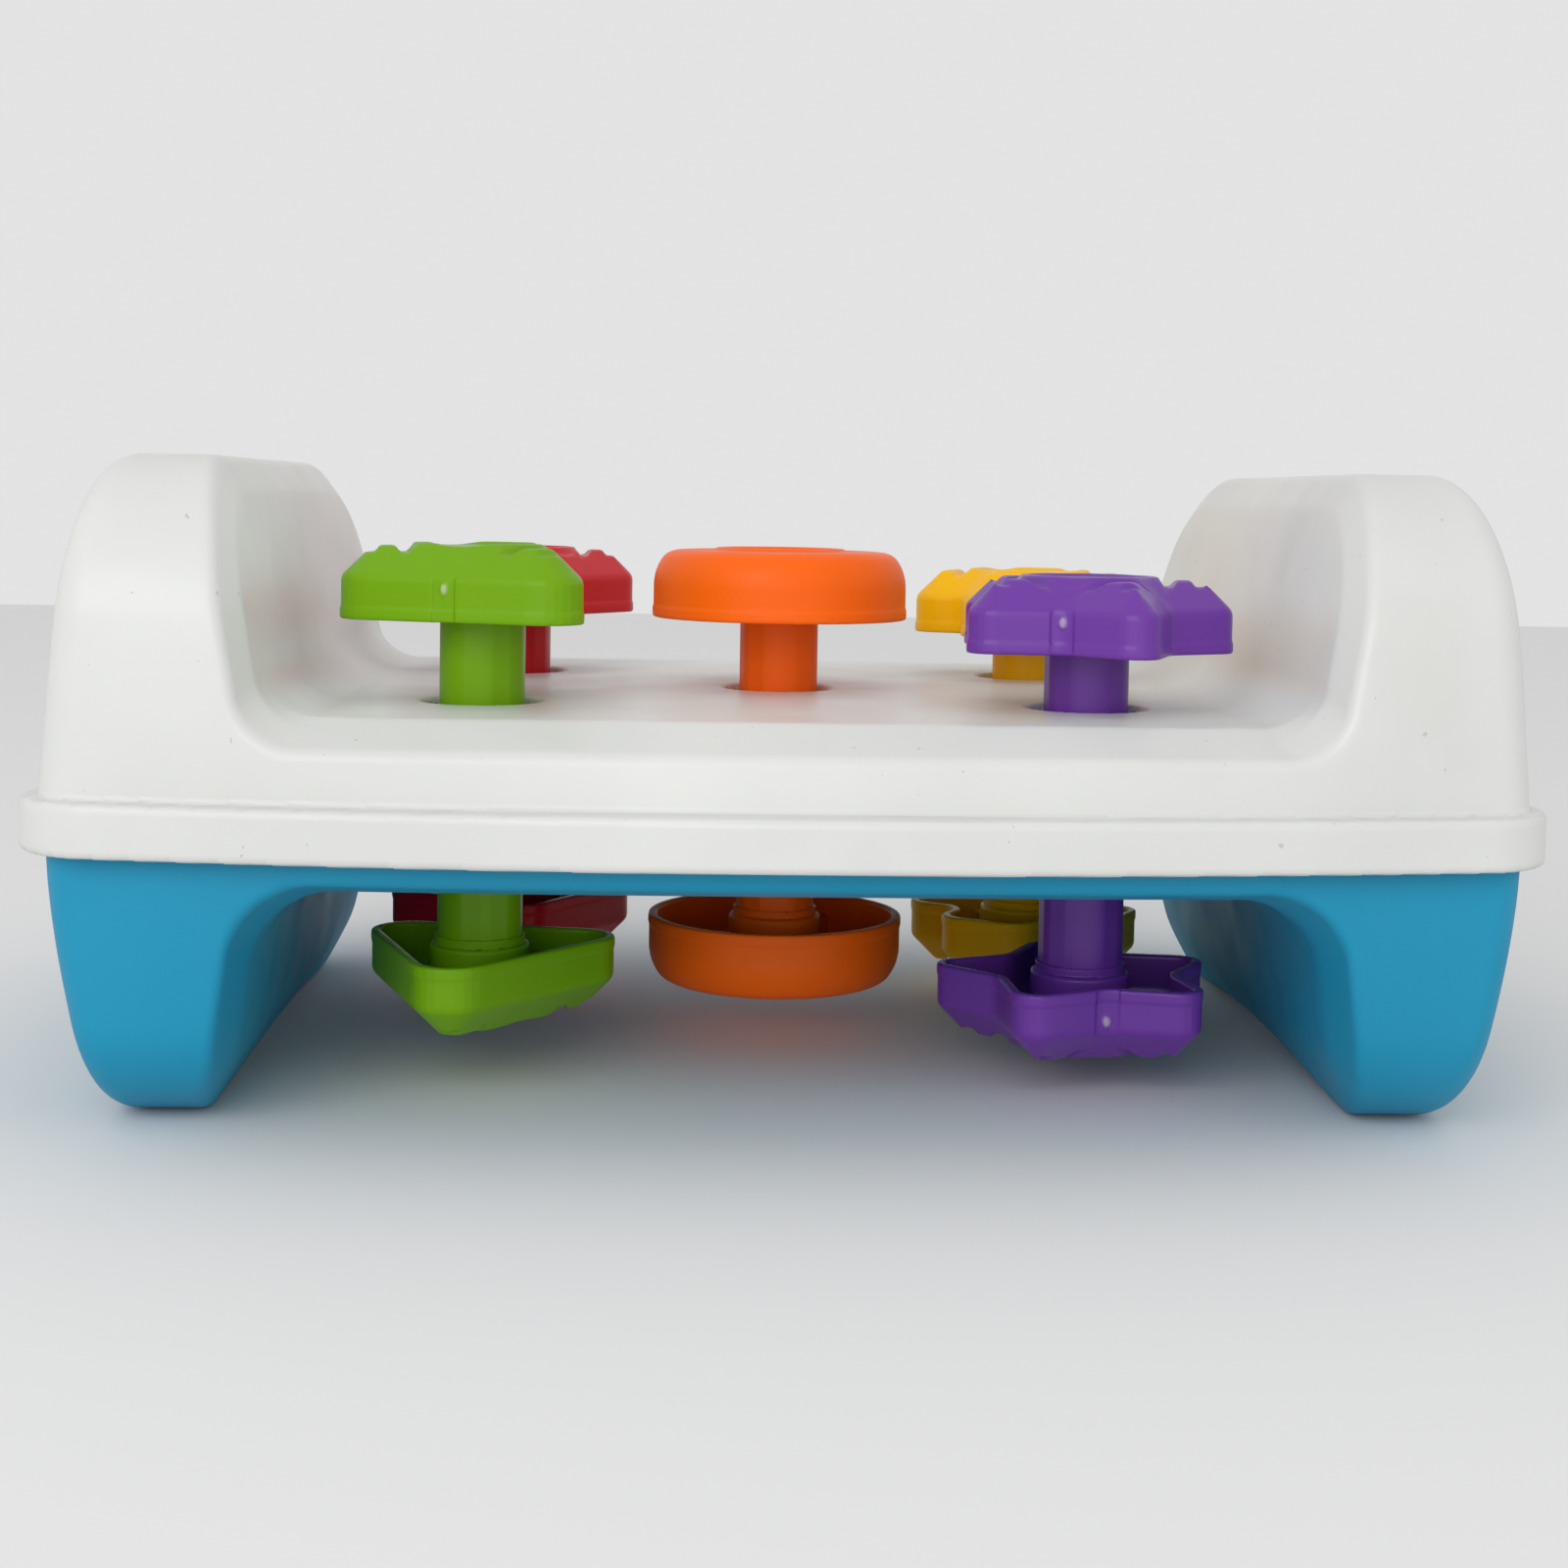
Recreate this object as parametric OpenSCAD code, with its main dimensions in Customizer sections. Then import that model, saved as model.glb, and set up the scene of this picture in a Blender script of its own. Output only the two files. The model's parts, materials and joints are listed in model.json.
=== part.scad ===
// Toy workbench: a two-part moulded bench with five double-headed pegs that turn and slide through it.
// Millimetres, +Z up, X along the bench, front towards -Y, origin at the middle of the footprint.

/* [Bench] */
// Length over the rim
rim_length = 317; // [290:1:340]
// Depth over the rim at its corners
rim_depth = 204; // [190:1:220]
// How far the long sides bow out past the corners
side_bow = 13; // [4:0.5:16]
// How far the short sides bow out past the corners
end_bow = 0.5; // [0:0.5:4]
// Height of the whole bench
bench_height = 139; // [132:1:146]
// Height of the deck above the floor
deck_height = 85.5; // [82:0.5:90]
// Height of the underside between the legs
arch_height = 49.5; // [46:0.5:52]
// Wall thickness of both shells
wall = 2.6; // [2:0.1:3.2]

/* [Rim] */
// Underside of the rim band
rim_low = 58; // [56:0.5:60]
// Top edge of the rim band
rim_high = 69; // [67:0.5:71]
// How far the rim stands out past the upper shell
rim_step = 5; // [4:0.5:7]
// How far the rim overhangs the lower shell
lap_step = 6.3; // [6:0.1:8]

/* [Pegs] */
// Spacing of the outer pegs along the bench
peg_span_x = 136; // [130:1:140]
// Spacing of the outer pegs across the bench
peg_span_y = 90; // [86:1:100]
// Shaft diameter
shaft_d = 19; // [18:0.5:20]
// Diameter of the deck and underside holes
hole_d = 26; // [25:0.5:28]
// Diameter of the round head
head_d = 62; // [58:1:64]
// Height of each head
head_h = 17; // [16:0.5:18]
// Height of the bevelled part of each head
head_bevel = 7.5; // [5:0.5:9]
// Clear distance between a peg's two heads
head_gap = 72.5; // [70:0.5:75]

/* [Hidden] */
$fn = 72;

WHITE = "#e8e6e2";
TEAL = "#2a9abe";
GREEN = "#76a800";
PURPLE = "#6a35a8";
ORANGE = "#f26f1d";
RED = "#c01a2c";
YELLOW = "#f0c000";
NATURAL = "#d8d4c6";
RUBBER = "#2c2c2c";

px = peg_span_x / 2;
py = peg_span_y / 2;
shaft_r = shaft_d / 2;
hole_r = hole_d / 2;
head_r = head_d / 2;
head_wall = 2.2;
eps = 0.01;

// Peg places, the height of each upper head's open edge, and the turn of each upper and lower head
GREEN_AT = [-px, -py, 103.6];
PURPLE_AT = [px, -py, 98.4];
ORANGE_AT = [0, 0, 102.5];
RED_AT = [-px, py, 101];
YELLOW_AT = [px, py, 97];

// ---------- outlines ----------
function unit(v) = v / norm(v);
function wrap(a) = a > 180 ? a - 360 : a < -180 ? a + 360 : a;

// One corner [x, y, radius] between its neighbours, as points on its arc
function corner(p0, p1, p2, n) =
    p1[2] == 0 ? [[p1.x, p1.y]] :
    let (
        q = [p1.x, p1.y],
        a = unit([p0.x, p0.y] - q),
        b = unit([p2.x, p2.y] - q),
        half = acos(a * b) / 2,
        c = q + unit(a + b) * p1[2] / sin(half),
        s = q + a * p1[2] / tan(half) - c,
        e = q + b * p1[2] / tan(half) - c,
        t0 = atan2(s.y, s.x),
        sweep = wrap(atan2(e.y, e.x) - t0)
    ) [for (i = [0:n]) c + p1[2] * [cos(t0 + sweep * i / n), sin(t0 + sweep * i / n)]];

function rounded(p, n = 6) = [
    for (i = [0:len(p) - 1])
        each corner(p[(i + len(p) - 1) % len(p)], p[i], p[(i + 1) % len(p)], n)
];
function mirrored(p) = concat(p, [for (i = [len(p) - 1:-1:0]) [-p[i].x, p[i].y, p[i][2]]]);

// Plan of the bench, inset by t: long sides and ends bow out as flat arcs
BOW_REACH = 1.8;
function plan(t) =
    let (
        a = rim_length / 2 - end_bow - t,
        b = rim_depth / 2 - t,
        av = a + end_bow * BOW_REACH,
        bv = b + side_bow * BOW_REACH,
        side_r = 0.86 * a / tan(atan((bv - b) / a)),
        end_r = 0.8 * b / tan(atan((av - a) / b)),
        r = 17 - t / 2
    ) rounded([
        [-a, -b, r], [0, -bv, side_r], [a, -b, r], [av, 0, end_r],
        [a, b, r], [0, bv, side_r], [-a, b, r], [-av, 0, end_r]
    ], 10);

// Front view and end view of the upper and lower bodies, inset by t
function upper_front(t) = rounded(mirrored([
    [156 - t, 40, 0], [147.5 - t, bench_height - t, 8 - t]
]), 8);
function upper_end(t) = rounded(mirrored([
    [116 - t, 40, 0], [92 - t, bench_height - t, 34 - t]
]), 14);
function lower_front(t) = rounded(mirrored([
    [152.2 - t, 80, 0], [152.2 - t, 50, 60], [143 - t, t, 7 - t]
]), 8);
function lower_end(t) = rounded(mirrored([
    [114 - t, 80, 0], [92 - t, t, 23 - t]
]), 14);

// Front view of the recess above the deck and of the arch between the legs, grown by t
function recess(t, drop = 0, widen = 0) = rounded(mirrored([
    [123.5 + t + widen, 160, 0], [108.6 + t + widen, deck_height - t - drop, 14 + t]
]), 8);
function arch(t, lift = 0, widen = 0) = rounded(mirrored([
    [123 + t + widen, -3, 0], [114.5 + t + widen, 14, 10], [108.6 + t + widen / 2, arch_height + t + lift, 15 + t]
]), 8);

// ---------- bodies ----------
module along_y(depth) {
    rotate([90, 0, 0]) linear_extrude(depth, center = true) children();
}

module along_x(length) {
    rotate([90, 0, 90]) linear_extrude(length, center = true) children();
}

FACE_Y = 88;     // where the edge chamfer starts
FAR_Y = 118;     // past the bowed face
CHAMFER = 9.5;   // drop of the chamfer at FAR_Y

module recess_cut(t) {
    along_y(2 * FAR_Y) polygon(recess(t));
    for (s = [-1, 1]) hull() {
        translate([0, s * (FACE_Y - t), 0]) along_y(eps) polygon(recess(t));
        translate([0, s * FAR_Y, 0]) along_y(eps) polygon(recess(t, CHAMFER, 5));
    }
}

module arch_cut(t) {
    along_y(2 * FAR_Y) polygon(arch(t));
    for (s = [-1, 1]) hull() {
        translate([0, s * (FACE_Y - t), 0]) along_y(eps) polygon(arch(t));
        translate([0, s * FAR_Y, 0]) along_y(eps) polygon(arch(t, 5, 4));
    }
}

module upper_body(t, low) {
    difference() {
        intersection() {
            translate([0, 0, low]) linear_extrude(bench_height) polygon(plan(rim_step + t));
            along_y(300) polygon(upper_front(t));
            along_x(400) polygon(upper_end(t));
        }
        recess_cut(t);
    }
}

module lower_body(t, high) {
    difference() {
        intersection() {
            translate([0, 0, high - bench_height]) linear_extrude(bench_height) polygon(plan(lap_step + t));
            along_y(300) polygon(lower_front(t));
            along_x(400) polygon(lower_end(t));
        }
        arch_cut(t);
    }
}

// ---------- places ----------
module at_pegs() {
    for (p = [GREEN_AT, PURPLE_AT, ORANGE_AT, RED_AT, YELLOW_AT]) translate([p.x, p.y, 0]) children();
}

SCREWS_AT = [for (x = [-96, 96], y = [-72, 72]) [x, y], [0, -78], [0, 78]];
module at_screws() {
    for (p = SCREWS_AT) translate([p.x, p.y, 0]) children();
}

module tube(outer, inner, z0, z1) {
    translate([0, 0, z0]) difference() {
        cylinder(r = outer, h = z1 - z0);
        translate([0, 0, -1]) cylinder(r = inner, h = z1 - z0 + 2);
    }
}

// ---------- collar seat heights ----------
FLANGE_LOW = 65;
FLANGE_HIGH = 69;
FLANGE_R = 16.5;
COLLAR_R = hole_r - 0.1;
SEAT_R = hole_r + wall;
SEAT_GAP = 0.15;

// ---------- shells ----------
PILLAR_R = 5;
PILOT_R = 1.6;
PILLAR_END = 60;

module top_shell() color(WHITE) {
    difference() {
        union() {
            upper_body(0, rim_high - wall);
            difference() {
                translate([0, 0, rim_low]) linear_extrude(rim_high - rim_low) polygon(plan(0));
                translate([0, 0, rim_low - 1]) linear_extrude(rim_high - rim_low - wall + 1) polygon(plan(wall));
            }
        }
        upper_body(wall, rim_low - 2);
        at_pegs() translate([0, 0, deck_height - 10]) cylinder(r = hole_r, h = 20);
    }
    at_pegs() tube(SEAT_R, hole_r, FLANGE_HIGH + SEAT_GAP, deck_height - wall + eps);
    at_screws() tube(PILLAR_R, PILOT_R, PILLAR_END, deck_height - wall + eps);
}

FOOT_RISE = 5;      // the legs clear the floor by this between their corner feet
FOOT_SPAN = 122;    // distance between the corner feet

module foot_relief() {
    r = (FOOT_SPAN * FOOT_SPAN / 4 + FOOT_RISE * FOOT_RISE) / (2 * FOOT_RISE);
    translate([0, 0, FOOT_RISE - r]) rotate([0, 90, 0]) cylinder(r = r, h = 400, center = true, $fn = 360);
}

module bottom_shell() color(TEAL) {
    high = rim_high - wall - 0.1;
    difference() {
        lower_body(0, high);
        difference() {
            lower_body(wall, high + 1);
            translate([0, 0, wall]) foot_relief();
        }
        foot_relief();
        at_pegs() translate([0, 0, arch_height - 10]) cylinder(r = hole_r, h = 20);
        at_screws() translate([0, 0, arch_height - 10]) cylinder(r = SCREW_HEAD_R + 0.4, h = 10 + SCREW_SINK);
        at_screws() translate([0, 0, arch_height - 10]) cylinder(r = PILOT_R + 0.6, h = 20);
    }
    at_pegs() tube(SEAT_R, hole_r, arch_height + wall - eps, FLANGE_LOW - SEAT_GAP);
    at_screws() {
        tube(PILLAR_R, SCREW_HEAD_R + 0.4, arch_height + wall - eps, arch_height + SCREW_SINK + eps);
        tube(PILLAR_R, PILOT_R + 0.6, arch_height + SCREW_SINK, PILLAR_END - 0.05);
    }
}

// ---------- screws ----------
SCREW_HEAD_R = 3.4;
SCREW_SINK = 6;
SCREW_LENGTH = 16;

module screws() color("#9a9c9e") {
    at_screws() translate([0, 0, arch_height + SCREW_SINK]) {
        cylinder(r = PILOT_R, h = SCREW_LENGTH);
        difference() {
            translate([0, 0, -2.4]) cylinder(r1 = SCREW_HEAD_R - 0.9, r2 = SCREW_HEAD_R, h = 2.4);
            for (a = [0, 90]) rotate([0, 0, a]) translate([-2, -0.4, -3]) cube([4, 0.8, 1.8]);
        }
    }
}

// ---------- peg heads ----------
function spoke(r, a, round) = [r * cos(a), r * sin(a), round];

TRIANGLE = [for (i = [0:2]) spoke(40.5, 120 * i, 9)];
SQUARE = [for (i = [0:3]) spoke(34.2, 90 * i, 7)];
STAR = [for (i = [0:9]) i % 2 == 0 ? spoke(37.6, 36 * i, 6) : spoke(22, 36 * i, 6)];
CLOVER = [
    for (i = [0:3]) each [
        spoke(32, 90 * i - 24, 7), spoke(32, 90 * i + 24, 7), spoke(18.5, 90 * i + 45, 5)
    ]
];

module outline(points) {
    polygon(rounded(points, 6));
}

// A head standing on its open edge: straight wall, then a stepped bevel up to a flat face with a ring
BEVEL_STEPS = 3;
module head_solid(points) {
    straight = head_h - head_bevel;
    step = head_bevel / BEVEL_STEPS;
    difference() {
        union() {
            linear_extrude(straight + eps) outline(points);
            for (i = [0:BEVEL_STEPS - 1]) translate([0, 0, straight + i * step])
                linear_extrude(step + (i < BEVEL_STEPS - 1 ? eps : 0))
                    offset(delta = -(i + 0.5) * step) outline(points);
        }
        translate([0, 0, -1]) linear_extrude(straight) offset(delta = -head_wall) outline(points);
        translate([0, 0, straight - 1 - eps]) linear_extrude(head_bevel - head_wall + 1)
            offset(delta = -head_wall - head_bevel * 0.85) outline(points);
        face_grooves(len(points));
    }
}

ROUND_BEVEL = 4.5;
module round_head_solid() {
    straight = head_h - ROUND_BEVEL;
    face_r = head_r - ROUND_BEVEL;
    difference() {
        rotate_extrude() polygon([
            [0, 0], [head_r, 0], [head_r, straight], [face_r, head_h], [0, head_h]
        ]);
        rotate_extrude() polygon([
            [0, -1], [head_r - head_wall, -1], [head_r - head_wall, straight - 1],
            [face_r - head_wall, head_h - head_wall], [0, head_h - head_wall]
        ]);
        face_grooves(8);
    }
}

RELIEF = 1.2;
module face_grooves(count) {
    translate([0, 0, head_h - RELIEF]) difference() {
        cylinder(r = 16.5, h = 5);
        translate([0, 0, -1]) cylinder(r = 13.5, h = 7);
    }
    for (i = [0:count - 1]) rotate([0, 0, 360 / count * (i + 0.5)])
        translate([18, 0, head_h + 0.8]) rotate([0, 90, 0]) cylinder(r = 2, h = 30, $fn = 24);
}

module head(kind) {
    if (kind == "disc") round_head_solid();
    if (kind == "triangle") head_solid(TRIANGLE);
    if (kind == "square") head_solid(SQUARE);
    if (kind == "star") head_solid(STAR);
    if (kind == "clover") head_solid(CLOVER);
}

// ---------- pegs ----------
BORE_R = shaft_r - 2;         // the shaft is a tube
PLUG_R = BORE_R - 0.02;       // snap plug of the lower head
SOCKET_R = shaft_r + 0.02;    // socket of the lower head
BOSS_R = 12;
BOSS_DEPTH = 4;               // the upper heads' bosses stop short of the open edge by this
SLEEVE = 1.8;                 // the lower heads' sockets stand above the open edge by this
SLEEVE_R = shaft_r + 0.6;
SHAFT_END = head_h - head_wall - 1;

module peg(at, kind, turn) translate(at) {
    rotate([0, 0, turn]) head(kind);
    difference() {
        union() {
            translate([0, 0, -head_gap - SHAFT_END]) cylinder(r = shaft_r, h = head_gap + SHAFT_END + head_h - 2);
            translate([0, 0, BOSS_DEPTH]) cylinder(r = BOSS_R, h = head_h - head_wall - BOSS_DEPTH + eps);
        }
        translate([0, 0, -head_gap - SHAFT_END - 1]) cylinder(r = BORE_R, h = head_gap + SHAFT_END + 8);
    }
    rotate([0, 0, turn]) ribs(BOSS_DEPTH + 1, head_h - head_wall);
}

module cap(at, kind, turn) translate([at.x, at.y, at.z - head_gap]) {
    rotate([0, 0, turn]) mirror([0, 0, 1]) head(kind);
    translate([0, 0, -head_h + head_wall - eps]) {
        tube(BOSS_R, SOCKET_R, 0, head_h - head_wall);
        tube(SLEEVE_R, SOCKET_R, head_h - head_wall - eps, head_h - head_wall + SLEEVE);
        cylinder(r = PLUG_R, h = 7);
    }
    rotate([0, 0, turn]) mirror([0, 0, 1]) ribs(BOSS_DEPTH + 1, head_h - head_wall);
}

// Thin ribs from the boss towards the head's wall
module ribs(z0, z1) {
    for (i = [0:2]) rotate([0, 0, 120 * i + 60]) translate([BOSS_R - 0.5, -0.6, z0]) cube([6, 1.2, z1 - z0 + eps]);
}

// ---------- grip collars and friction rings ----------
GROOVE_R = shaft_r + 2;
module collar(at) color(NATURAL) translate([at.x, at.y, 0]) difference() {
    union() {
        translate([0, 0, FLANGE_LOW - 8]) cylinder(r = COLLAR_R, h = FLANGE_HIGH - FLANGE_LOW + 16);
        translate([0, 0, FLANGE_LOW]) cylinder(r = FLANGE_R, h = FLANGE_HIGH - FLANGE_LOW);
    }
    translate([0, 0, FLANGE_LOW - 9]) cylinder(r = shaft_r + 0.05, h = 40);
    translate([0, 0, FLANGE_LOW + 0.5]) cylinder(r = GROOVE_R, h = FLANGE_HIGH - FLANGE_LOW - 1);
}

module ring(at) color(RUBBER) translate([at.x, at.y, 0])
    tube(GROOVE_R, shaft_r + 0.03, FLANGE_LOW + 0.5, FLANGE_HIGH - 0.5);

module peg_green() color(GREEN) peg(GREEN_AT, "triangle", 70);
module cap_green() color(GREEN) cap(GREEN_AT, "triangle", 20);
module peg_purple() color(PURPLE) peg(PURPLE_AT, "star", -6);
module cap_purple() color(PURPLE) cap(PURPLE_AT, "star", 24);
module peg_orange() color(ORANGE) peg(ORANGE_AT, "disc", 0);
module cap_orange() color(ORANGE) cap(ORANGE_AT, "disc", 0);
module peg_red() color(RED) peg(RED_AT, "square", 8);
module cap_red() color(RED) cap(RED_AT, "square", 12);
module peg_yellow() color(YELLOW) peg(YELLOW_AT, "clover", -20);
module cap_yellow() color(YELLOW) cap(YELLOW_AT, "clover", 60);

top_shell();
bottom_shell();
screws();
peg_green();
cap_green();
collar(GREEN_AT);  // collar_green
ring(GREEN_AT);  // ring_green
peg_purple();
cap_purple();
collar(PURPLE_AT);  // collar_purple
ring(PURPLE_AT);  // ring_purple
peg_orange();
cap_orange();
collar(ORANGE_AT);  // collar_orange
ring(ORANGE_AT);  // ring_orange
peg_red();
cap_red();
collar(RED_AT);  // collar_red
ring(RED_AT);  // ring_red
peg_yellow();
cap_yellow();
collar(YELLOW_AT);  // collar_yellow
ring(YELLOW_AT);  // ring_yellow
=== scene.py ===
"""Toy workbench: smooth moulded shells and shape-headed pegs over the CAD frame, with studio light."""
import json
import math

import bpy
import numpy as np
from mathutils import Matrix, Vector


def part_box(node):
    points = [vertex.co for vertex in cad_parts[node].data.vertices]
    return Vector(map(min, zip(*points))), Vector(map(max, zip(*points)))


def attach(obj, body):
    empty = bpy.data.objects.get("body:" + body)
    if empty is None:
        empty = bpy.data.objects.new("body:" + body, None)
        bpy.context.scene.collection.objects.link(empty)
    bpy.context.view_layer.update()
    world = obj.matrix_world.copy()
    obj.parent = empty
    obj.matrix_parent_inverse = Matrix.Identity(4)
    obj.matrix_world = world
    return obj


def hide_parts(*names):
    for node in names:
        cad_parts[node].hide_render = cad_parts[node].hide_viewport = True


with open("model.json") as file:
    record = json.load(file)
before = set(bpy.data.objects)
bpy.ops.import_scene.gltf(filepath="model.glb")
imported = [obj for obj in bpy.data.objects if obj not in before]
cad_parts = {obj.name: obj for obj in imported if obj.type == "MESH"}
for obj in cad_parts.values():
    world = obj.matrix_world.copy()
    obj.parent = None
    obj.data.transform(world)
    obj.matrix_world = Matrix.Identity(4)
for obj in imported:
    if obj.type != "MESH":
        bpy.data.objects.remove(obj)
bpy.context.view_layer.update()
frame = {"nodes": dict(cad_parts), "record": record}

MM = 0.001
SHELL_CELL = 1.2                          # finer than the thinnest wall, so it never tears
HEAD_CELL = 0.6

# ---------------------------------------------------------------- sizes, in millimetres
top_low, top_high = (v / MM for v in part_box("top_shell"))
HALF_L, HALF_D, HEIGHT, RIM_LOW = top_high.x, top_high.y, top_high.z, top_low.z
RIM_HIGH = RIM_LOW + 11
RIM_ROUND = 17            # corners of the rim in plan
RIM_STEP = 5              # how far the rim stands out past the upper body
LAP_STEP = 6.3            # and past the lower one
SIDE_BOW = 14             # how far the long sides bow out
END_BOW = 0.7
WALL = 2.6
HOLE_R = 13
HOLE_EDGE = 1.4           # rounding of the holes' edges
SIDE_BLEND = 6            # softness where a side starts to slope

# Upper body: a lean is millimetres inwards per millimetre of height
UPPER_HALF = 116          # half depth of the sloped side at UPPER_FOOT
UPPER_FOOT = 40
UPPER_LEAN = 0.242
END_LEAN = 0.085
TOP_ROUND = 34
END_ROUND = 7

# Recess above the deck
DECK = 85.5
RECESS_HALF = 107.9       # half length at the deck
RECESS_LEAN = 0.2
RECESS_ROUND = 10
FLARE_FROM = 120          # above this height the recess opens in a curve
FLARE = 0.006
CHAMFER = 0.37            # slope of the chamfer round the recess
CREASE = 0.45             # softness of its inner edge
DECK_CHAMFER = 15         # its width at the deck
WALL_CHAMFER = 9.5        # and at the end walls
LIP_RISE = 2              # it stays narrower than that along the top by this

# Lower body and the arch under it
ARCH = 49.5
ARCH_HALF = 108.6
ARCH_LEAN = 0.166
ARCH_ROUND = 15
ARCH_CHAMFER = 0.26
ARCH_CHAMFER_W = 14
ARCH_FLARE_FROM = 14      # below this height the arch opens wider
ARCH_FLARE = 0.36
LOWER_HALF = 114          # half depth of the sloped side at LOWER_HEAD
LOWER_HEAD = 80
LOWER_LEAN = 0.275
LEG_FROM = 51             # the legs' ends lean in below this height
LEG_LEAN = 0.19
LEG_EDGE = 6
FOOT_ROUND = 23
FOOT_RISE = 5             # clearance between the corner feet
FOOT_SPAN = 122
SCREW_HOLE_R = 3.8
SCREW_HOLE_H = 6
POCKET_R = 6.4
POCKET_H = 8
SEAT_TOP = 64.8           # the collars' flanges rest here

PEGS = {
    "green": dict(shape="triangle", turn=70, gate=180, cap_turn=20, cap_gate=300),
    "purple": dict(shape="star", turn=-6, gate=252, cap_turn=24, cap_gate=108),
    "orange": dict(shape="disc", turn=0, gate=90, cap_turn=0, cap_gate=270),
    "red": dict(shape="square", turn=8, gate=135, cap_turn=12, cap_gate=315),
    "yellow": dict(shape="clover", turn=-20, gate=135, cap_turn=60, cap_gate=315),
}
SHAFT_R = 9.5
SHAFT_FLATS = [math.radians(a) for a in (12, 84, 192, 232, 312)]
HEAD_H = 17
HEAD_BEVEL = 7.5
DISC_BEVEL = 4.5
HEAD_WALL = 2.2
HEAD_R = 31
BOSS_R = 11.2
BOSS_DEPTH = 4            # the upper heads' bosses stop short of the open edge by this
SLEEVE_R = SHAFT_R + 0.6
SLEEVE_H = 1.8
RIB_HALF = 0.6
EDGE_H = 2.6              # height and step of the band round the open edge
EDGE_STEP = 0.25
RING_R = 14.5             # ring on the face
RING_HALF = 1.3
RING_H = 0.7
TIPS = {"triangle": 3, "square": 4, "star": 5, "clover": 4}
GROOVES_AT = (17.6, 24.8)
GROOVE_HALF = 1.5
GROOVE_DEPTH = 1.5
VALLEY_FROM = 16.5        # shallow valleys between the tips, outside this radius
VALLEY_HALF = 4
VALLEY_DEPTH = 1.3
GATE_HALF = 2.6           # sunk band with a pip, where each head was filled in its mould
GATE_DEPTH = 0.4
PIP_AT = 7.2
PIP_R = (0.9, 1.3)
PIP_OUT = 0.5


# ---------------------------------------------------------------- distance fields
def soft_max(a, b, k):
    h = np.maximum(k - np.abs(a - b), 0) / k
    return np.maximum(a, b) + h * h * k / 4


def soft_min(a, b, k):
    return -soft_max(-a, -b, k)


def round_max(a, b, r):
    return np.minimum(-r, np.maximum(a, b)) + np.hypot(np.maximum(a + r, 0), np.maximum(b + r, 0))


def round_min(a, b, r):
    return -round_max(-a, -b, r)


def ramp(t, w):
    """0 below t = 0 and t above it, with a soft start w wide."""
    return w * np.logaddexp(0, t / w)


def plan_side(x, y, inset):
    return np.abs(y) - (HALF_D - inset) + SIDE_BOW * (x / HALF_L) ** 2


def plan_end(x, y, inset):
    return np.abs(x) - (HALF_L - inset) + END_BOW * (y / HALF_D) ** 2


def band(d, half, soft):
    """1 where |d| is under half, falling softly to 0."""
    return 0.5 - 0.5 * np.tanh((np.abs(d) - half) / (2 * soft))


def at_pegs(x, y):
    """Distance from the nearest peg's axis."""
    return np.minimum.reduce([np.hypot(x - p.x, y - p.y) for p in PEG_AXES])


def rib(x, y, a):
    """A thin upright wall from the axis outwards along the angle a."""
    return np.maximum(
        np.abs(x * math.sin(a) - y * math.cos(a)) - RIB_HALF,
        -x * math.cos(a) - y * math.sin(a),
    )


def leaning(distance, lean):
    """Level distance from a face that leans, as the distance square to the face."""
    return distance / math.hypot(1, lean)


def upper_solid(x, y, z):
    """White body without its hollow: barrel ends, rounded end view, recess with a chamfered edge."""
    slope = leaning(np.abs(y) - UPPER_HALF + UPPER_LEAN * (z - UPPER_FOOT), UPPER_LEAN)
    side = soft_max(plan_side(x, y, RIM_STEP), slope, SIDE_BLEND)
    end = leaning(plan_end(x, y, RIM_STEP) + END_LEAN * (z - RIM_HIGH), END_LEAN)
    body = round_max(round_max(side, z - HEIGHT, TOP_ROUND), end, END_ROUND)
    lip = round_max(side, z - HEIGHT - LIP_RISE, TOP_ROUND)
    recess_floor = DECK - z - CHAMFER * ramp(lip + DECK_CHAMFER, CREASE)
    opening = RECESS_HALF + RECESS_LEAN * (z - DECK) + FLARE * ramp(z - FLARE_FROM, 0.5) ** 2
    opening = opening + CHAMFER * ramp(lip + WALL_CHAMFER, CREASE)
    recess = round_max(recess_floor, leaning(np.abs(x) - opening, RECESS_LEAN), RECESS_ROUND)
    return soft_max(body, -recess, 2)


def top_shell_field(x, y, z):
    solid = upper_solid(x, y, z)
    rim_plan = round_max(plan_side(x, y, 0), plan_end(x, y, 0), RIM_ROUND)
    rim = round_max(rim_plan, np.maximum(RIM_LOW - z, z - RIM_HIGH), 1.3)
    outer = round_min(np.maximum(solid, RIM_HIGH - 3 - z), rim, 0.8)
    hollow = np.minimum(solid + WALL, np.maximum(rim_plan + WALL, z - RIM_HIGH + WALL))
    shell = np.maximum(outer, -hollow)
    ring = at_pegs(x, y)
    seat = np.maximum(np.maximum(ring - HOLE_R - WALL, RIM_HIGH + 0.2 - z), z - DECK + 1)
    return round_max(np.minimum(shell, seat), HOLE_R - ring, HOLE_EDGE)


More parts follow.
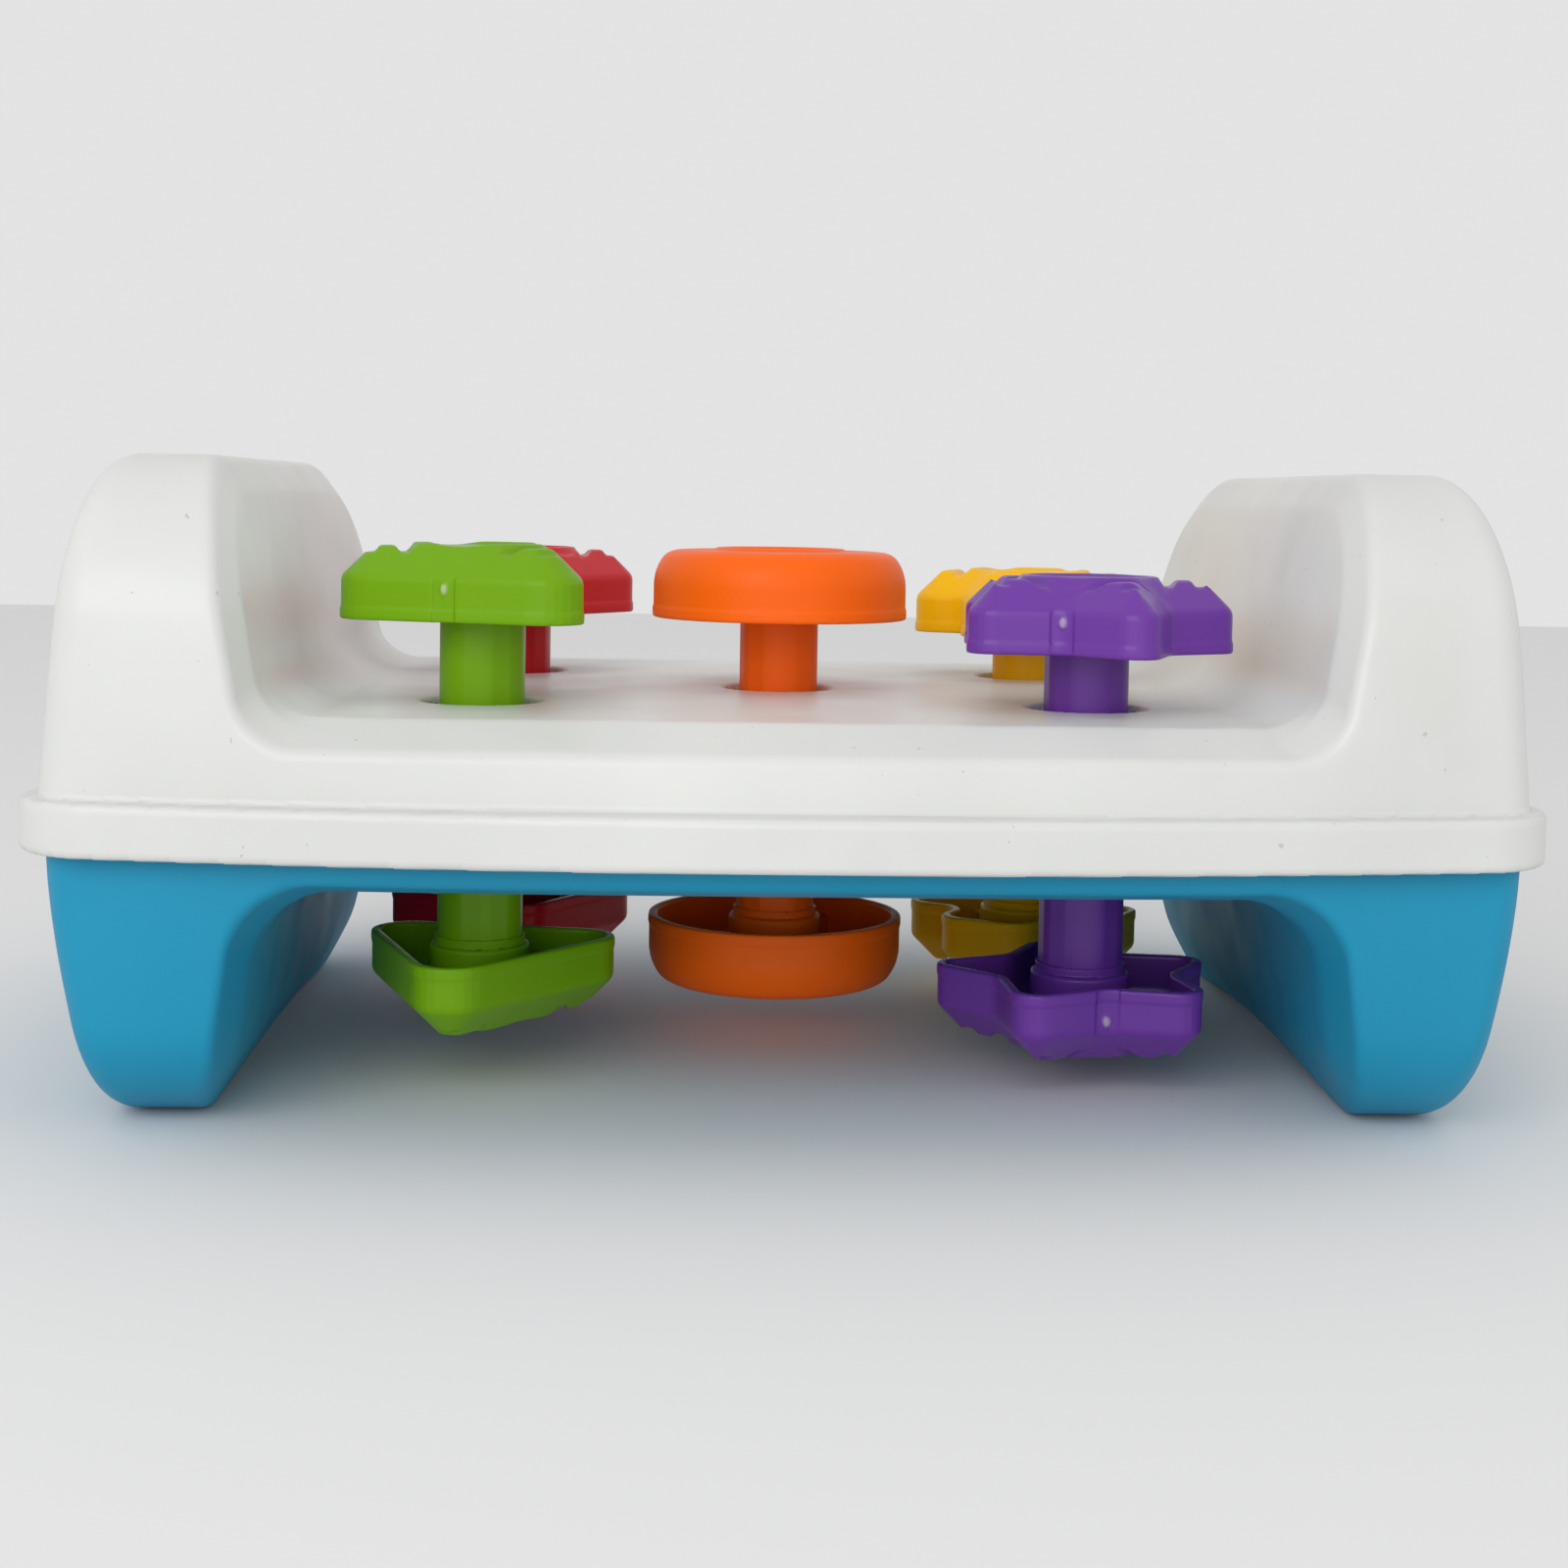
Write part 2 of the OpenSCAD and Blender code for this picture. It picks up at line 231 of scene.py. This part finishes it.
def lower_solid(x, y, z):
    """Teal body without its hollow: legs at both ends, arch between them, four corner feet."""
    slope = leaning(np.abs(y) - LOWER_HALF + LOWER_LEAN * (LOWER_HEAD - z), LOWER_LEAN)
    side = soft_max(plan_side(x, y, LAP_STEP), slope, SIDE_BLEND)
    end = leaning(plan_end(x, y, LAP_STEP) + LEG_LEAN * ramp(LEG_FROM - z, 6), LEG_LEAN)
    body = round_max(round_max(side, -z, FOOT_ROUND), end, LEG_EDGE)
    between_feet = FOOT_RISE * (1 - (2 * y / FOOT_SPAN) ** 2) - z
    body = soft_max(body, between_feet, 3)
    chamfer = ARCH_CHAMFER * ramp(side + ARCH_CHAMFER_W, 1.2)
    opening = ARCH_HALF + ARCH_LEAN * (ARCH - z) + ARCH_FLARE * ramp(ARCH_FLARE_FROM - z, 2)
    opening = opening + 0.9 * chamfer
    arch = round_max(z - ARCH - chamfer, leaning(np.abs(x) - opening, ARCH_LEAN), ARCH_ROUND)
    return soft_max(body, -arch, 2)


def bottom_shell_field(x, y, z):
    solid = lower_solid(x, y, z)
    shell = np.maximum(np.maximum(solid, -solid - WALL), z - RIM_HIGH + WALL + 0.2)
    ring = at_pegs(x, y)
    seat = np.maximum(np.maximum(ring - HOLE_R - WALL, z - SEAT_TOP), ARCH + 1 - z)
    shell = round_max(np.minimum(shell, seat), HOLE_R - ring, HOLE_EDGE)
    screw = np.minimum.reduce([np.hypot(x - sx, y - sy) for sx, sy in SCREWS_AT])
    pocket = np.maximum(np.maximum(screw - POCKET_R, z - ARCH - POCKET_H), ARCH + 1 - z)
    screw_hole = np.minimum(SCREW_HOLE_R - screw, ARCH + SCREW_HOLE_H - z)
    return round_max(np.minimum(shell, pocket), screw_hole, 0.5)


# ---------------------------------------------------------------- head outlines
def spoke(r, angle, fillet):
    return (r * math.cos(math.radians(angle)), r * math.sin(math.radians(angle)), fillet)


OUTLINES = {
    "triangle": [spoke(40.5, 120 * i, 9) for i in range(3)],
    "square": [spoke(34.2, 90 * i, 7) for i in range(4)],
    "star": [spoke(22, 36 * i, 6) if i % 2 else spoke(37.6, 36 * i, 6) for i in range(10)],
    "clover": [
        spoke(r, 90 * i + turn, fillet)
        for i in range(4)
        for r, turn, fillet in ((32, -24, 7), (32, 24, 7), (18.5, 45, 5))
    ],
}


def rounded_outline(corners, steps=9):
    """The outline's points, with an arc at each corner."""
    points = []
    for i, (px, py, r) in enumerate(corners):
        here = Vector((px, py))
        a = (Vector(corners[i - 1][:2]) - here).normalized()
        b = (Vector(corners[(i + 1) % len(corners)][:2]) - here).normalized()
        half = a.angle(b) / 2
        centre = here + (a + b).normalized() * (r / math.sin(half))
        start = here + a * (r / math.tan(half)) - centre
        sweep = start.angle_signed(here + b * (r / math.tan(half)) - centre)
        points += [centre + Matrix.Rotation(-sweep * k / steps, 2) @ start for k in range(steps + 1)]
    return np.array(points)


def outline_field(points, x, y):
    """Signed distance from a closed outline, negative inside."""
    best = np.full(np.broadcast(x, y).shape, 1e9)
    inside = np.zeros(best.shape, bool)
    for (ax, ay), (bx, by) in zip(points, np.roll(points, -1, 0)):
        ex, ey = bx - ax, by - ay
        length = ex * ex + ey * ey
        if length < 1e-9:
            continue
        t = np.clip(((x - ax) * ex + (y - ay) * ey) / length, 0, 1)
        best = np.minimum(best, (x - ax - t * ex) ** 2 + (y - ay - t * ey) ** 2)
        if abs(ey) > 1e-12:
            crosses = ((ay > y) != (by > y)) & (x < ax + ex * (y - ay) / ey)
            inside ^= crosses
    return np.where(inside, -1, 1) * np.sqrt(best)


def head_field(shape, gate):
    """A hollow head standing on its open edge at z = 0, its face at z = HEAD_H."""
    straight = HEAD_H - (DISC_BEVEL if shape == "disc" else HEAD_BEVEL)
    if shape == "disc":
        tips, soft, face_soft = [], 3.5, 2.0
    else:
        points, soft, face_soft = rounded_outline(OUTLINES[shape]), 0.9, 0.8
        tips = [2 * math.pi * i / TIPS[shape] for i in range(TIPS[shape])]

    def field(x, y, z):
        r = np.hypot(x, y)
        plain = r - HEAD_R if shape == "disc" else outline_field(points, x, y)
        wall = plain + EDGE_STEP * (1 - band(z, EDGE_H, 0.15))
        bevel = (wall + z - straight) / math.sqrt(2)
        across = np.abs(y * math.cos(gate) - x * math.sin(gate))
        facing = x * math.cos(gate) + y * math.sin(gate) > 0
        wall = wall + GATE_DEPTH * facing * band(across, GATE_HALF, 0.06)
        pip = (across / PIP_R[0]) ** 2 + ((z - PIP_AT) / PIP_R[1]) ** 2
        wall = wall - PIP_OUT * facing * np.exp(-pip * pip)
        relief = RING_H * (band(r - RING_R, RING_HALF, 0.2) - 1)
        for tip in tips:
            along = x * math.cos(tip) + y * math.sin(tip)
            for place in GROOVES_AT:
                relief = relief - GROOVE_DEPTH * band(along - place, GROOVE_HALF, 0.25)
            valley = tip + math.pi / len(tips)
            aside = np.abs(y * math.cos(valley) - x * math.sin(valley))
            ahead = x * math.cos(valley) + y * math.sin(valley) > 0
            outside = 1 - band(r, VALLEY_FROM, 0.3)
            relief = relief - VALLEY_DEPTH * ahead * band(aside, VALLEY_HALF, 0.9) * outside
        solid = soft_max(soft_max(wall, bevel, soft), z - HEAD_H - relief, face_soft)
        inner = soft_max(plain, (plain + z - straight) / math.sqrt(2), soft) + HEAD_WALL
        hollow = np.maximum(inner, z - HEAD_H + HEAD_WALL + 1.5)
        shell = round_max(np.maximum(solid, -hollow), -z, 0.6)
        ribs = np.minimum.reduce([rib(x, y, math.pi * turn) for turn in (1 / 3, 1, 5 / 3)])
        ribs = np.maximum(np.maximum(ribs, BOSS_DEPTH + 1 - z), np.maximum(inner - 0.8, z - HEAD_H + 2))
        return soft_min(shell, ribs, 0.6)

    return field


def peg_field(shape, gate, gap):
    """An upper head with its shaft."""
    head = head_field(shape, math.radians(gate))

    def field(x, y, z):
        r = np.hypot(x, y)
        flats = np.maximum.reduce([
            x * math.cos(a) + y * math.sin(a) - SHAFT_R + 0.22 for a in SHAFT_FLATS
        ])
        shaft = np.maximum(np.maximum(r - SHAFT_R, flats), np.maximum(-gap - z, z - HEAD_H + 2))
        boss = np.maximum(round_max(r - BOSS_R, BOSS_DEPTH - z, 0.8), z - HEAD_H + 2)
        return soft_min(soft_min(head(x, y, z), shaft, 1.0), boss, 0.8)

    return field


def cap_field(shape, gate):
    """A lower head, modelled open edge down, with its socket round the shaft."""
    head = head_field(shape, math.radians(gate))

    def field(x, y, z):
        r = np.hypot(x, y)
        boss = np.maximum(round_max(r - BOSS_R, 0.2 - z, 0.8), z - HEAD_H + 2)
        sleeve = np.maximum(round_max(r - SLEEVE_R, -SLEEVE_H - z, 0.3), z - HEAD_H + 2)
        return np.minimum(soft_min(head(x, y, z), boss, 0.8), sleeve)

    return field


# ---------------------------------------------------------------- surfaces
def surface(name, field, low, high, cell):
    """A quad mesh on field = 0 inside the box, in millimetres, with exact normals."""
    axes = [np.arange(lo - 2 * cell, hi + 3 * cell, cell) for lo, hi in zip(low, high)]
    nx, ny, nz = (len(a) for a in axes)
    inside = np.empty((nx, ny, nz), bool)
    for i in range(0, nx, 24):
        part = slice(i, i + 24)
        inside[part] = field(axes[0][part, None, None], axes[1][None, :, None], axes[2][None, None, :]) < 0
    count = sum(
        inside[i:nx - 1 + i, j:ny - 1 + j, k:nz - 1 + k].astype(np.int8)
        for i in (0, 1) for j in (0, 1) for k in (0, 1)
    )
    active = (count > 0) & (count < 8)
    index = np.full(active.shape, -1, np.int64)
    cells = np.argwhere(active)
    index[active] = np.arange(len(cells))
    start = np.stack([axes[d][cells[:, d]] + cell / 2 for d in range(3)], 1)
    verts = start.copy()
    for step in range(4):
        value, slope = value_and_slope(field, verts)
        move = -slope * (value / np.maximum((slope ** 2).sum(1), 0.05))[:, None]
        verts = np.clip(verts + move * 0.9, start - 0.8 * cell, start + 0.8 * cell)
    quads = []
    for d in range(3):
        e, f = (d + 1) % 3, (d + 2) % 3
        here = np.moveaxis(inside, (d, e, f), (0, 1, 2))
        cells_of = np.moveaxis(index, (d, e, f), (0, 1, 2))
        a, b = here[:-1, 1:-1, 1:-1], here[1:, 1:-1, 1:-1]
        at = np.argwhere(a != b)
        i, j, k = at[:, 0], at[:, 1] + 1, at[:, 2] + 1
        ring = np.stack([
            cells_of[i, j - 1, k - 1], cells_of[i, j, k - 1], cells_of[i, j, k], cells_of[i, j - 1, k]
        ], 1)
        out = a[at[:, 0], at[:, 1], at[:, 2]]
        quads.append(np.where(out[:, None], ring, ring[:, ::-1]))
    quads = np.concatenate(quads)
    _, slope = value_and_slope(field, verts)
    return mesh_object(name, verts, quads, slope)


def value_and_slope(field, p, h=0.02):
    x, y, z = p.T
    slope = np.stack([
        field(x + h, y, z) - field(x - h, y, z),
        field(x, y + h, z) - field(x, y - h, z),
        field(x, y, z + h) - field(x, y, z - h),
    ], 1) / (2 * h)
    return field(x, y, z), slope


def mesh_object(name, verts, quads, normals):
    mesh = bpy.data.meshes.new(name)
    mesh.vertices.add(len(verts))
    mesh.vertices.foreach_set("co", (verts * MM).astype(np.float32).ravel())
    mesh.loops.add(quads.size)
    mesh.loops.foreach_set("vertex_index", quads.astype(np.int32).ravel())
    mesh.polygons.add(len(quads))
    mesh.polygons.foreach_set("loop_start", np.arange(0, quads.size, 4, dtype=np.int32))
    mesh.update(calc_edges=True)
    mesh.validate()
    mesh.polygons.foreach_set("use_smooth", np.ones(len(mesh.polygons), bool))
    unit = normals / np.maximum(np.linalg.norm(normals, axis=1), 1e-9)[:, None]
    mesh.normals_split_custom_set_from_vertices(unit.tolist())
    obj = bpy.data.objects.new(name, mesh)
    bpy.context.scene.collection.objects.link(obj)
    return obj


# ---------------------------------------------------------------- materials
def linear(rgb):
    return [((c / 255 + 0.055) / 1.055) ** 2.4 if c > 10 else c / 255 / 12.92 for c in rgb] + [1]


def plastic(name, rgb, rough, grain=0.02, grain_scale=2500, wave=0.018, subsurface=0.0, dirt=0.0, gloss=0.5):
    """Moulded plastic: colour drift, roughness patches, fine grain, soft sink marks and dirt specks."""
    mat = bpy.data.materials.new(name)
    mat.use_nodes = True
    nodes, links = mat.node_tree.nodes, mat.node_tree.links
    shader = nodes["Principled BSDF"]
    coords = nodes.new("ShaderNodeTexCoord")

    def noise(scale, detail=3.0):
        n = nodes.new("ShaderNodeTexNoise")
        n.inputs["Scale"].default_value = scale
        n.inputs["Detail"].default_value = detail
        links.new(coords.outputs["Object"], n.inputs["Vector"])
        return n.outputs["Fac"]

    def span(value, low, high, to_low, to_high):
        m = nodes.new("ShaderNodeMapRange")
        for key, v in zip(("From Min", "From Max", "To Min", "To Max"), (low, high, to_low, to_high)):
            m.inputs[key].default_value = v
        links.new(value, m.inputs["Value"])
        return m.outputs["Result"]

    def mix(fac, a, b):
        m = nodes.new("ShaderNodeMix")
        m.data_type = "RGBA"
        links.new(fac, m.inputs["Factor"])
        for socket, v in ((m.inputs["A"], a), (m.inputs["B"], b)):
            if isinstance(v, list):
                socket.default_value = v
            else:
                links.new(v, socket)
        return m.outputs["Result"]

    base = linear(rgb)
    deep = [c * 0.93 for c in base[:3]] + [1]
    colour = mix(span(noise(14), 0.35, 0.65, 0, 1), base, deep)
    if dirt:
        speck = span(noise(520, 1), 0.775, 0.8, 0, dirt)
        colour = mix(speck, colour, linear((120, 105, 90)))
        smear = span(noise(28, 6), 0.6, 0.8, 0, dirt * 0.35)
        colour = mix(smear, colour, linear((190, 180, 165)))
    links.new(span(noise(60, 4), 0.3, 0.7, rough * 0.85, rough * 1.2), shader.inputs["Roughness"])
    shader.inputs["Subsurface Weight"].default_value = subsurface
    shader.inputs["Subsurface Scale"].default_value = 0.004
    shader.inputs["Specular IOR Level"].default_value = gloss
    mark = nodes.new("ShaderNodeAttribute")
    mark.attribute_name = "mark"
    colour = mix(span(mark.outputs["Fac"], 0.2, 0.9, 0, 0.3), colour, linear((245, 240, 225)))
    links.new(colour, shader.inputs["Base Color"])
    fine = nodes.new("ShaderNodeBump")
    fine.inputs["Strength"].default_value = grain
    fine.inputs["Distance"].default_value = 0.0004
    links.new(noise(grain_scale, 2), fine.inputs["Height"])
    sink = nodes.new("ShaderNodeBump")
    sink.inputs["Strength"].default_value = wave
    sink.inputs["Distance"].default_value = 0.004
    links.new(noise(38, 1), sink.inputs["Height"])
    links.new(fine.outputs["Normal"], sink.inputs["Normal"])
    links.new(sink.outputs["Normal"], shader.inputs["Normal"])
    return mat


def metal(name, rgb, rough):
    mat = plastic(name, rgb, rough, grain=0.1)
    mat.node_tree.nodes["Principled BSDF"].inputs["Metallic"].default_value = 1
    return mat


MATERIALS = {
    "white_shell": plastic("white_shell", (221, 222, 219), 0.36, dirt=0.3, subsurface=0.05),
    "teal_shell": plastic("teal_shell", (22, 146, 184), 0.5, grain=0.12, grain_scale=1500, gloss=0.3),
    "green_plastic": plastic("green_plastic", (114, 166, 0), 0.34, subsurface=0.05, gloss=0.2),
    "purple_plastic": plastic("purple_plastic", (108, 52, 158), 0.32, subsurface=0.05, gloss=0.35),
    "orange_plastic": plastic(
        "orange_plastic", (252, 102, 4), 0.42, grain=0.2, grain_scale=1300, subsurface=0.05, gloss=0.2
    ),
    "red_plastic": plastic("red_plastic", (196, 18, 34), 0.34, subsurface=0.05, gloss=0.25),
    "yellow_plastic": plastic("yellow_plastic", (248, 190, 0), 0.34, subsurface=0.05, gloss=0.2),
    "collar_plastic": plastic("collar_plastic", (216, 212, 198), 0.5),
    "friction_rubber": plastic("friction_rubber", (44, 44, 44), 0.7),
    "screw_steel": metal("screw_steel", (168, 170, 172), 0.35),
}


def mark_gate(obj, gate):
    """A pale spot on the gate band, as a vertex attribute read by the plastics."""
    at = np.empty(len(obj.data.vertices) * 3, np.float32)
    obj.data.vertices.foreach_get("co", at)
    x, y, z = at.reshape(-1, 3).T / MM
    gate = math.radians(gate)
    across = (y * math.cos(gate) - x * math.sin(gate)) / PIP_R[0]
    near = np.exp(-(across ** 2 + ((z - PIP_AT) / PIP_R[1]) ** 2) ** 2)
    near *= (x * math.cos(gate) + y * math.sin(gate) > 12) & (np.hypot(x, y) > 14)
    obj.data.attributes.new("mark", "FLOAT", "POINT").data.foreach_set("value", near)


def finish_piece(obj, node, body, slot):
    obj.data.materials.append(MATERIALS[slot])
    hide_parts(node)
    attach(obj, body)


# ---------------------------------------------------------------- pieces
def centre_of(node):
    low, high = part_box(node)
    return (low + high) / 2 / MM


PEG_AXES = [centre_of(f"collar_{colour}") for colour in PEGS]
SCREWS_AT = [(x, y) for x in (-96, 96) for y in (-72, 72)] + [(0, -78), (0, 78)]


def make_shells():
    top = surface("white_top", top_shell_field, top_low, top_high, SHELL_CELL)
    finish_piece(top, "top_shell", "bench", "white_shell")
    low, high = (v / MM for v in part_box("bottom_shell"))
    bottom = surface("teal_bottom", bottom_shell_field, low, high, SHELL_CELL)
    finish_piece(bottom, "bottom_shell", "bench", "teal_shell")


def place(obj, at, turn, upside_down=False):
    flip = Matrix.Rotation(math.pi, 4, "X") if upside_down else Matrix.Identity(4)
    obj.data.transform(Matrix.Translation(at * MM) @ Matrix.Rotation(math.radians(turn), 4, "Z") @ flip)


def make_pegs():
    for colour, peg in PEGS.items():
        low, high = (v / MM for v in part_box(f"peg_{colour}"))
        cap_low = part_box(f"cap_{colour}")[0] / MM
        axis = centre_of(f"collar_{colour}")
        edge = high.z - HEAD_H
        cap_edge = cap_low.z + HEAD_H
        reach = edge - low.z
        wide = 36 if peg["shape"] != "disc" else 31
        upper = surface(
            f"{colour}_peg", peg_field(peg["shape"], peg["gate"], reach),
            (-wide, -wide, -reach), (wide, wide, HEAD_H), HEAD_CELL,
        )
        mark_gate(upper, peg["gate"])
        place(upper, Vector((axis.x, axis.y, edge)), peg["turn"])
        finish_piece(upper, f"peg_{colour}", f"peg_{colour}", f"{colour}_plastic")
        lower = surface(
            f"{colour}_cap", cap_field(peg["shape"], peg["cap_gate"]),
            (-wide, -wide, -SLEEVE_H), (wide, wide, HEAD_H), HEAD_CELL,
        )
        mark_gate(lower, peg["cap_gate"])
        place(lower, Vector((axis.x, axis.y, cap_edge)), peg["cap_turn"], upside_down=True)
        finish_piece(lower, f"cap_{colour}", f"peg_{colour}", f"{colour}_plastic")


def dress_frame():
    """The pieces inside the bench stay CAD solids with their own finish."""
    slots = {s["node"]: s["material_slot"] for s in frame["record"]["subparts"]}
    for node, obj in frame["nodes"].items():
        if node.startswith(("collar_", "ring_", "screws")):
            obj.data.materials.clear()
            obj.data.materials.append(MATERIALS[slots[node]])


# ---------------------------------------------------------------- studio
def make_floor():
    bpy.ops.mesh.primitive_plane_add(size=4, location=(0, 0, 0))
    floor = bpy.context.object
    floor.name = "studio_floor"
    mat = bpy.data.materials.new("studio_floor")
    mat.use_nodes = True
    shader = mat.node_tree.nodes["Principled BSDF"]
    shader.inputs["Base Color"].default_value = (0.8, 0.8, 0.8, 1)
    shader.inputs["Roughness"].default_value = 0.9
    floor.data.materials.append(mat)


def area_light(name, at, aim, size, power, colour=(1, 1, 1)):
    light = bpy.data.lights.new(name, "AREA")
    light.shape = "RECTANGLE"
    light.size, light.size_y = size
    light.energy = power
    light.color = colour
    obj = bpy.data.objects.new(name, light)
    bpy.context.scene.collection.objects.link(obj)
    obj.location = at
    obj.rotation_euler = (Vector(aim) - Vector(at)).to_track_quat("-Z", "Y").to_euler()


def make_lights():
    world = bpy.data.worlds.new("studio")
    bpy.context.scene.world = world
    world.use_nodes = True
    world.node_tree.nodes["Background"].inputs["Color"].default_value = (1, 1, 1, 1)
    world.node_tree.nodes["Background"].inputs["Strength"].default_value = 0.77
    area_light("key", (-0.5, -1.3, 0.8), (0, 0, 0.06), (1.2, 0.8), 7.5)
    area_light("low_fill", (0, -1.2, 0.22), (0, 0, 0.05), (1.4, 0.4), 1.2)


def make_camera():
    camera = bpy.data.cameras.new("camera")
    obj = bpy.data.objects.new("camera", camera)
    bpy.context.scene.collection.objects.link(obj)
    yaw, pitch, roll = -0.0407, 0.0463, 0.0166
    across = Vector((math.cos(yaw), math.sin(yaw), 0))
    level = Vector((-math.sin(yaw), math.cos(yaw), 0))
    ahead = level * math.cos(pitch) - Vector((0, 0, 1)) * math.sin(pitch)
    up = across.cross(ahead)
    right = across * math.cos(roll) + up * math.sin(roll)
    over = up * math.cos(roll) - across * math.sin(roll)
    turn = Matrix((right, over, -ahead)).transposed().to_4x4()
    obj.matrix_world = Matrix.Translation((-0.0214, -0.5527, 0.1314)) @ turn
    camera.sensor_width = 36
    camera.lens = 51.98
    camera.shift_y = -0.1147
    camera.clip_start = 0.01
    bpy.context.scene.camera = obj


make_shells()
make_pegs()
dress_frame()
make_floor()
make_lights()
make_camera()
bpy.context.scene.view_settings.view_transform = "Standard"
